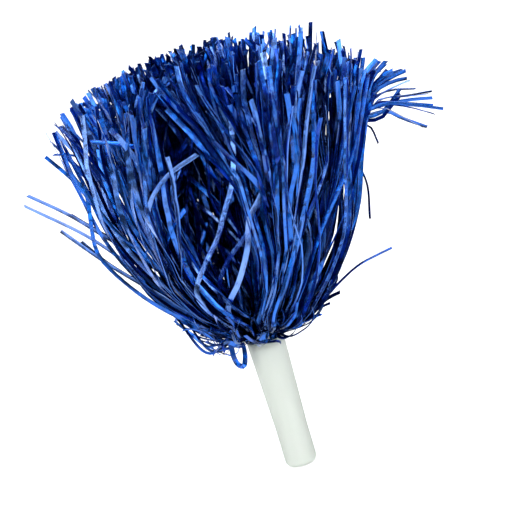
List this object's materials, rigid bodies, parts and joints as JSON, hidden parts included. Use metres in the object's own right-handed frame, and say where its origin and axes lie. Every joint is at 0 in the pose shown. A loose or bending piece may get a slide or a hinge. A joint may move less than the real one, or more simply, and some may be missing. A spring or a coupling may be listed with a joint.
{
  "type": "cheer pom pom",
  "caption": "Handheld cheer pom pom: a translucent white plastic tube handle with a wide spray of shiny metallic blue film streamers.",
  "frame": {"origin": "centre of the flat butt face of the handle", "axes": "+Z along the handle axis towards the streamers, +X to the right and -Y to the viewer when the handle is held upright"},
  "size_m": [0.298, 0.2089, 0.309],
  "materials": {
    "handle_plastic": "satin",
    "blue_film": "gloss",
    "tie_wire": "satin",
    "hot_melt_glue": "satin"
  },
  "bodies": {
    "handle": {"handle_tube": "handle_plastic", "folded_neck": "blue_film", "binding_wire": "tie_wire", "glue_plug": "hot_melt_glue", "crown_streamers": "blue_film"},
    "outer_right": {"outer_streamers_right": "blue_film"},
    "inner_right": {"inner_streamers_right": "blue_film"},
    "outer_back_right": {"outer_streamers_back_right": "blue_film"},
    "inner_back_right": {"inner_streamers_back_right": "blue_film"},
    "outer_back": {"outer_streamers_back": "blue_film"},
    "inner_back": {"inner_streamers_back": "blue_film"},
    "outer_back_left": {"outer_streamers_back_left": "blue_film"},
    "inner_back_left": {"inner_streamers_back_left": "blue_film"},
    "outer_left": {"outer_streamers_left": "blue_film"},
    "inner_left": {"inner_streamers_left": "blue_film"},
    "outer_front_left": {"outer_streamers_front_left": "blue_film"},
    "inner_front_left": {"inner_streamers_front_left": "blue_film"},
    "outer_front": {"outer_streamers_front": "blue_film"},
    "inner_front": {"inner_streamers_front": "blue_film"},
    "outer_front_right": {"outer_streamers_front_right": "blue_film"},
    "inner_front_right": {"inner_streamers_front_right": "blue_film"}
  },
  "joints": [
    {"name": "outer_right_swing", "type": "hinge", "parent": "handle", "child": "outer_right", "pos_m": [0.0156, 0, 0.101], "axis": [0, 1, 0], "range_deg": [-8, 55], "stiffness_Nm_per_rad": 0.04},
    {"name": "inner_right_swing", "type": "hinge", "parent": "handle", "child": "inner_right", "pos_m": [0.0082, 0, 0.105], "axis": [0, 1, 0], "range_deg": [-4, 27.5], "stiffness_Nm_per_rad": 0.03},
    {"name": "outer_back_right_swing", "type": "hinge", "parent": "handle", "child": "outer_back_right", "pos_m": [0.01103, 0.01103, 0.101], "axis": [-0.7071, 0.7071, 0], "range_deg": [-8, 55], "stiffness_Nm_per_rad": 0.04},
    {"name": "inner_back_right_swing", "type": "hinge", "parent": "handle", "child": "inner_back_right", "pos_m": [0.0058, 0.0058, 0.105], "axis": [-0.7071, 0.7071, 0], "range_deg": [-4, 27.5], "stiffness_Nm_per_rad": 0.03},
    {"name": "outer_back_swing", "type": "hinge", "parent": "handle", "child": "outer_back", "pos_m": [0, 0.0156, 0.101], "axis": [-1, 0, 0], "range_deg": [-8, 55], "stiffness_Nm_per_rad": 0.04},
    {"name": "inner_back_swing", "type": "hinge", "parent": "handle", "child": "inner_back", "pos_m": [0, 0.0082, 0.105], "axis": [-1, 0, 0], "range_deg": [-4, 27.5], "stiffness_Nm_per_rad": 0.03},
    {"name": "outer_back_left_swing", "type": "hinge", "parent": "handle", "child": "outer_back_left", "pos_m": [-0.01103, 0.01103, 0.101], "axis": [-0.7071, -0.7071, 0], "range_deg": [-8, 55], "stiffness_Nm_per_rad": 0.04},
    {"name": "inner_back_left_swing", "type": "hinge", "parent": "handle", "child": "inner_back_left", "pos_m": [-0.0058, 0.0058, 0.105], "axis": [-0.7071, -0.7071, 0], "range_deg": [-4, 27.5], "stiffness_Nm_per_rad": 0.03},
    {"name": "outer_left_swing", "type": "hinge", "parent": "handle", "child": "outer_left", "pos_m": [-0.0156, 0, 0.101], "axis": [0, -1, 0], "range_deg": [-8, 55], "stiffness_Nm_per_rad": 0.04},
    {"name": "inner_left_swing", "type": "hinge", "parent": "handle", "child": "inner_left", "pos_m": [-0.0082, 0, 0.105], "axis": [0, -1, 0], "range_deg": [-4, 27.5], "stiffness_Nm_per_rad": 0.03},
    {"name": "outer_front_left_swing", "type": "hinge", "parent": "handle", "child": "outer_front_left", "pos_m": [-0.01103, -0.01103, 0.101], "axis": [0.7071, -0.7071, 0], "range_deg": [-8, 55], "stiffness_Nm_per_rad": 0.04},
    {"name": "inner_front_left_swing", "type": "hinge", "parent": "handle", "child": "inner_front_left", "pos_m": [-0.0058, -0.0058, 0.105], "axis": [0.7071, -0.7071, 0], "range_deg": [-4, 27.5], "stiffness_Nm_per_rad": 0.03},
    {"name": "outer_front_swing", "type": "hinge", "parent": "handle", "child": "outer_front", "pos_m": [0, -0.0156, 0.101], "axis": [1, 0, 0], "range_deg": [-8, 55], "stiffness_Nm_per_rad": 0.04},
    {"name": "inner_front_swing", "type": "hinge", "parent": "handle", "child": "inner_front", "pos_m": [0, -0.0082, 0.105], "axis": [1, 0, 0], "range_deg": [-4, 27.5], "stiffness_Nm_per_rad": 0.03},
    {"name": "outer_front_right_swing", "type": "hinge", "parent": "handle", "child": "outer_front_right", "pos_m": [0.01103, -0.01103, 0.101], "axis": [0.7071, 0.7071, 0], "range_deg": [-8, 55], "stiffness_Nm_per_rad": 0.04},
    {"name": "inner_front_right_swing", "type": "hinge", "parent": "handle", "child": "inner_front_right", "pos_m": [0.0058, -0.0058, 0.105], "axis": [0.7071, 0.7071, 0], "range_deg": [-4, 27.5], "stiffness_Nm_per_rad": 0.03}
  ],
  "couplings": [
    {"joint": "inner_right_swing", "follows": "outer_right_swing", "ratio": 0.5},
    {"joint": "inner_back_right_swing", "follows": "outer_back_right_swing", "ratio": 0.5},
    {"joint": "inner_back_swing", "follows": "outer_back_swing", "ratio": 0.5},
    {"joint": "inner_back_left_swing", "follows": "outer_back_left_swing", "ratio": 0.5},
    {"joint": "inner_left_swing", "follows": "outer_left_swing", "ratio": 0.5},
    {"joint": "inner_front_left_swing", "follows": "outer_front_left_swing", "ratio": 0.5},
    {"joint": "inner_front_swing", "follows": "outer_front_swing", "ratio": 0.5},
    {"joint": "inner_front_right_swing", "follows": "outer_front_right_swing", "ratio": 0.5}
  ]
}
